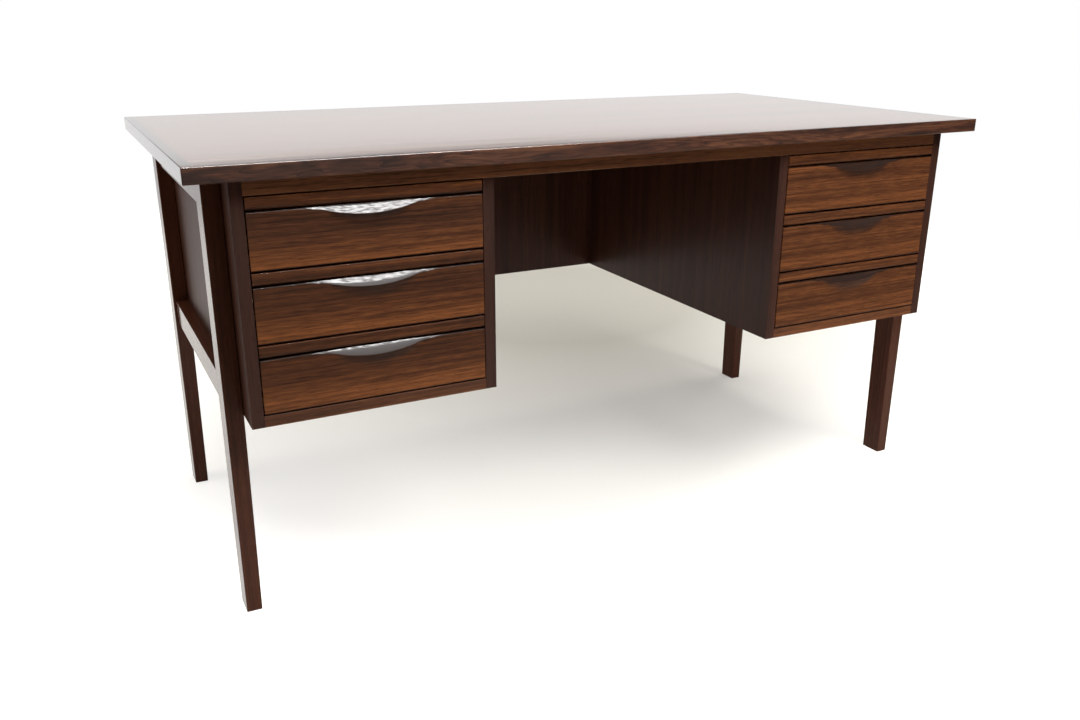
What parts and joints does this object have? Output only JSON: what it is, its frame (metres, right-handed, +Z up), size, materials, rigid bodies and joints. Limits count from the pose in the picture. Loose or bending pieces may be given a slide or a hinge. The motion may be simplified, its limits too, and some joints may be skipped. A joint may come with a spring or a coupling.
{
  "type": "kneehole desk",
  "caption": "Wooden kneehole desk with a pedestal of scoop-pulled drawers on each side, a closed back and legs set in frames outside the pedestals.",
  "frame": {"origin": "on the floor under the middle of the tabletop", "axes": "+X to the right as a person sits at the desk, +Y to the back, +Z up; the drawers open towards -Y"},
  "size_m": [1.5, 0.755, 0.745],
  "materials": {
    "veneer": "dark rosewood veneer, satin lacquer",
    "solid": "solid dark rosewood, satin lacquer",
    "drawer_front": "rosewood with straight grain, satin lacquer",
    "drawer_box": "pale hardwood, plain",
    "inner_wood": "pale hardwood, bare"
  },
  "bodies": {
    "desk": {"back_lipping": "solid", "back_panel": "veneer", "corner_blocks": "solid", "front_lipping": "solid", "front_rail": "solid", "left_back_leg": "solid", "left_front_leg": "solid", "left_inner_runners": "inner_wood", "left_inner_side": "veneer", "left_lipping": "solid", "left_outer_runners": "inner_wood", "left_outer_side": "veneer", "left_pedestal_bottom": "veneer", "left_stretcher": "solid", "left_upper_rail": "solid", "loose_tenons": "inner_wood", "right_back_leg": "solid", "right_front_leg": "solid", "right_inner_runners": "inner_wood", "right_inner_side": "veneer", "right_lipping": "solid", "right_outer_runners": "inner_wood", "right_outer_side": "veneer", "right_pedestal_bottom": "veneer", "right_stretcher": "solid", "right_upper_rail": "solid", "tabletop_panel": "veneer", "top_cleats": "inner_wood"},
    "left_top_drawer": {"left_top_drawer_front": "drawer_front", "left_top_drawer_left_side": "drawer_box", "left_top_drawer_right_side": "drawer_box", "left_top_drawer_back": "drawer_box", "left_top_drawer_bottom": "drawer_box"},
    "left_middle_drawer": {"left_middle_drawer_front": "drawer_front", "left_middle_drawer_left_side": "drawer_box", "left_middle_drawer_right_side": "drawer_box", "left_middle_drawer_back": "drawer_box", "left_middle_drawer_bottom": "drawer_box"},
    "left_bottom_drawer": {"left_bottom_drawer_front": "drawer_front", "left_bottom_drawer_left_side": "drawer_box", "left_bottom_drawer_right_side": "drawer_box", "left_bottom_drawer_back": "drawer_box", "left_bottom_drawer_bottom": "drawer_box"},
    "right_top_drawer": {"right_top_drawer_front": "drawer_front", "right_top_drawer_left_side": "drawer_box", "right_top_drawer_right_side": "drawer_box", "right_top_drawer_back": "drawer_box", "right_top_drawer_bottom": "drawer_box"},
    "right_middle_drawer": {"right_middle_drawer_front": "drawer_front", "right_middle_drawer_left_side": "drawer_box", "right_middle_drawer_right_side": "drawer_box", "right_middle_drawer_back": "drawer_box", "right_middle_drawer_bottom": "drawer_box"},
    "right_bottom_drawer": {"right_bottom_drawer_front": "drawer_front", "right_bottom_drawer_left_side": "drawer_box", "right_bottom_drawer_right_side": "drawer_box", "right_bottom_drawer_back": "drawer_box", "right_bottom_drawer_bottom": "drawer_box"}
  },
  "joints": [
    {"name": "left_top_drawer_slide", "type": "slide", "parent": "desk", "child": "left_top_drawer", "axis": [0, -1, 0], "range_m": [0, 0.42]},
    {"name": "left_middle_drawer_slide", "type": "slide", "parent": "desk", "child": "left_middle_drawer", "axis": [0, -1, 0], "range_m": [0, 0.42]},
    {"name": "left_bottom_drawer_slide", "type": "slide", "parent": "desk", "child": "left_bottom_drawer", "axis": [0, -1, 0], "range_m": [0, 0.42]},
    {"name": "right_top_drawer_slide", "type": "slide", "parent": "desk", "child": "right_top_drawer", "axis": [0, -1, 0], "range_m": [0, 0.42]},
    {"name": "right_middle_drawer_slide", "type": "slide", "parent": "desk", "child": "right_middle_drawer", "axis": [0, -1, 0], "range_m": [0, 0.42]},
    {"name": "right_bottom_drawer_slide", "type": "slide", "parent": "desk", "child": "right_bottom_drawer", "axis": [0, -1, 0], "range_m": [0, 0.42]}
  ]
}
